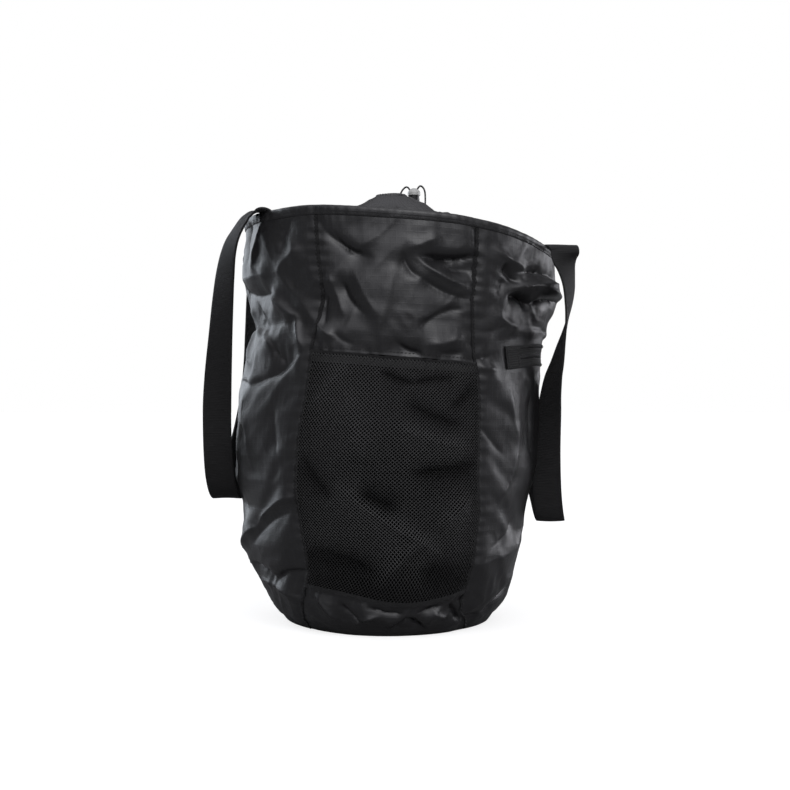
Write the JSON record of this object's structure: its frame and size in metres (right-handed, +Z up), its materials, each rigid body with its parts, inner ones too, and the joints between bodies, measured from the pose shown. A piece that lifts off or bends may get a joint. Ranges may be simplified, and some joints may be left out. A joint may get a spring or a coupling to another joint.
{
  "type": "rope storage bag",
  "caption": "Soft round rope bag with a gathered drawcord collar, mesh front pocket, zipped side pocket and webbing loop handles.",
  "frame": {"origin": "middle of the base panel's underside, on the ground", "axes": "+Z up along the bag, -Y towards the front with the mesh pocket, +X towards the zipped side pocket"},
  "size_m": [0.336, 0.2774, 0.3911],
  "materials": {
    "shell_fabric": "light ripstop nylon, slight sheen",
    "mesh_fabric": "open knitted mesh",
    "binding_tape": "woven binding tape, stitched",
    "webbing": "ribbed flat webbing",
    "cord": "thin braided cord with light flecks",
    "lock_body": "moulded black plastic",
    "lock_button": "light grey moulded plastic",
    "spring_steel": "spring wire",
    "zip_coil": "nylon coil",
    "zip_metal": "black painted die-cast zinc"
  },
  "bodies": {
    "bag": {"base_panel": "shell_fabric", "base_seam_binding": "binding_tape", "front_base_band": "shell_fabric", "front_lower_panel": "shell_fabric", "front_upper_panel": "shell_fabric", "left_side_panel": "shell_fabric", "back_panel": "shell_fabric", "right_side_lower_panel": "shell_fabric", "right_side_upper_panel": "shell_fabric", "front_left_seam_binding": "binding_tape", "front_right_seam_binding": "binding_tape", "back_left_seam_binding": "binding_tape", "back_right_seam_binding": "binding_tape", "rim_hem": "shell_fabric", "mesh_pocket_panel": "mesh_fabric", "mesh_pocket_hem": "shell_fabric", "collar_skirt": "shell_fabric", "collar_channel": "shell_fabric", "drawcord_in_channel": "cord", "drawcord_left_tail": "cord", "drawcord_right_tail": "cord", "drawcord_knots": "cord", "zip_upper_tape": "binding_tape", "zip_lower_tape": "binding_tape", "zip_upper_coil": "zip_coil", "zip_lower_coil": "zip_coil", "zip_front_tab": "binding_tape", "zip_rear_tab": "binding_tape", "side_pocket_bag": "shell_fabric", "left_handle_sewn_ends": "webbing", "right_handle_sewn_ends": "webbing", "rope_tie_loop": "webbing"},
    "left_handle": {"left_handle_webbing": "webbing"},
    "right_handle": {"right_handle_webbing": "webbing"},
    "zip_slider": {"zip_slider": "zip_metal"},
    "zip_puller": {"zip_puller": "zip_metal"},
    "cord_lock": {"cord_lock_body": "lock_body", "cord_lock_spring": "spring_steel"},
    "lock_button": {"cord_lock_button": "lock_button"}
  },
  "joints": [
    {"name": "left_handle_swing", "type": "hinge", "parent": "bag", "child": "left_handle", "pos_m": [-0.141, 0, 0.3625], "axis": [0, 1, 0], "range_deg": [0, 200]},
    {"name": "right_handle_swing", "type": "hinge", "parent": "bag", "child": "right_handle", "pos_m": [0.145, 0, 0.341], "axis": [0, -1, 0], "range_deg": [0, 200]},
    {"name": "zip_slide", "type": "hinge", "parent": "bag", "child": "zip_slider", "pos_m": [0, 0, 0.236], "axis": [0, 0, -1], "range_deg": [0, 54]},
    {"name": "zip_puller_swing", "type": "hinge", "parent": "zip_slider", "child": "zip_puller", "pos_m": [0.11916, 0.0688, 0.236], "axis": [0, 0, 1], "range_deg": [0, 160]},
    {"name": "cord_lock_slide", "type": "slide", "parent": "bag", "child": "cord_lock", "axis": [0, 0, -1], "range_m": [0, 0.003]},
    {"name": "lock_button_press", "type": "slide", "parent": "cord_lock", "child": "lock_button", "axis": [0, 0, -1], "range_m": [0, 0.0018], "stiffness_N_per_m": 400}
  ]
}
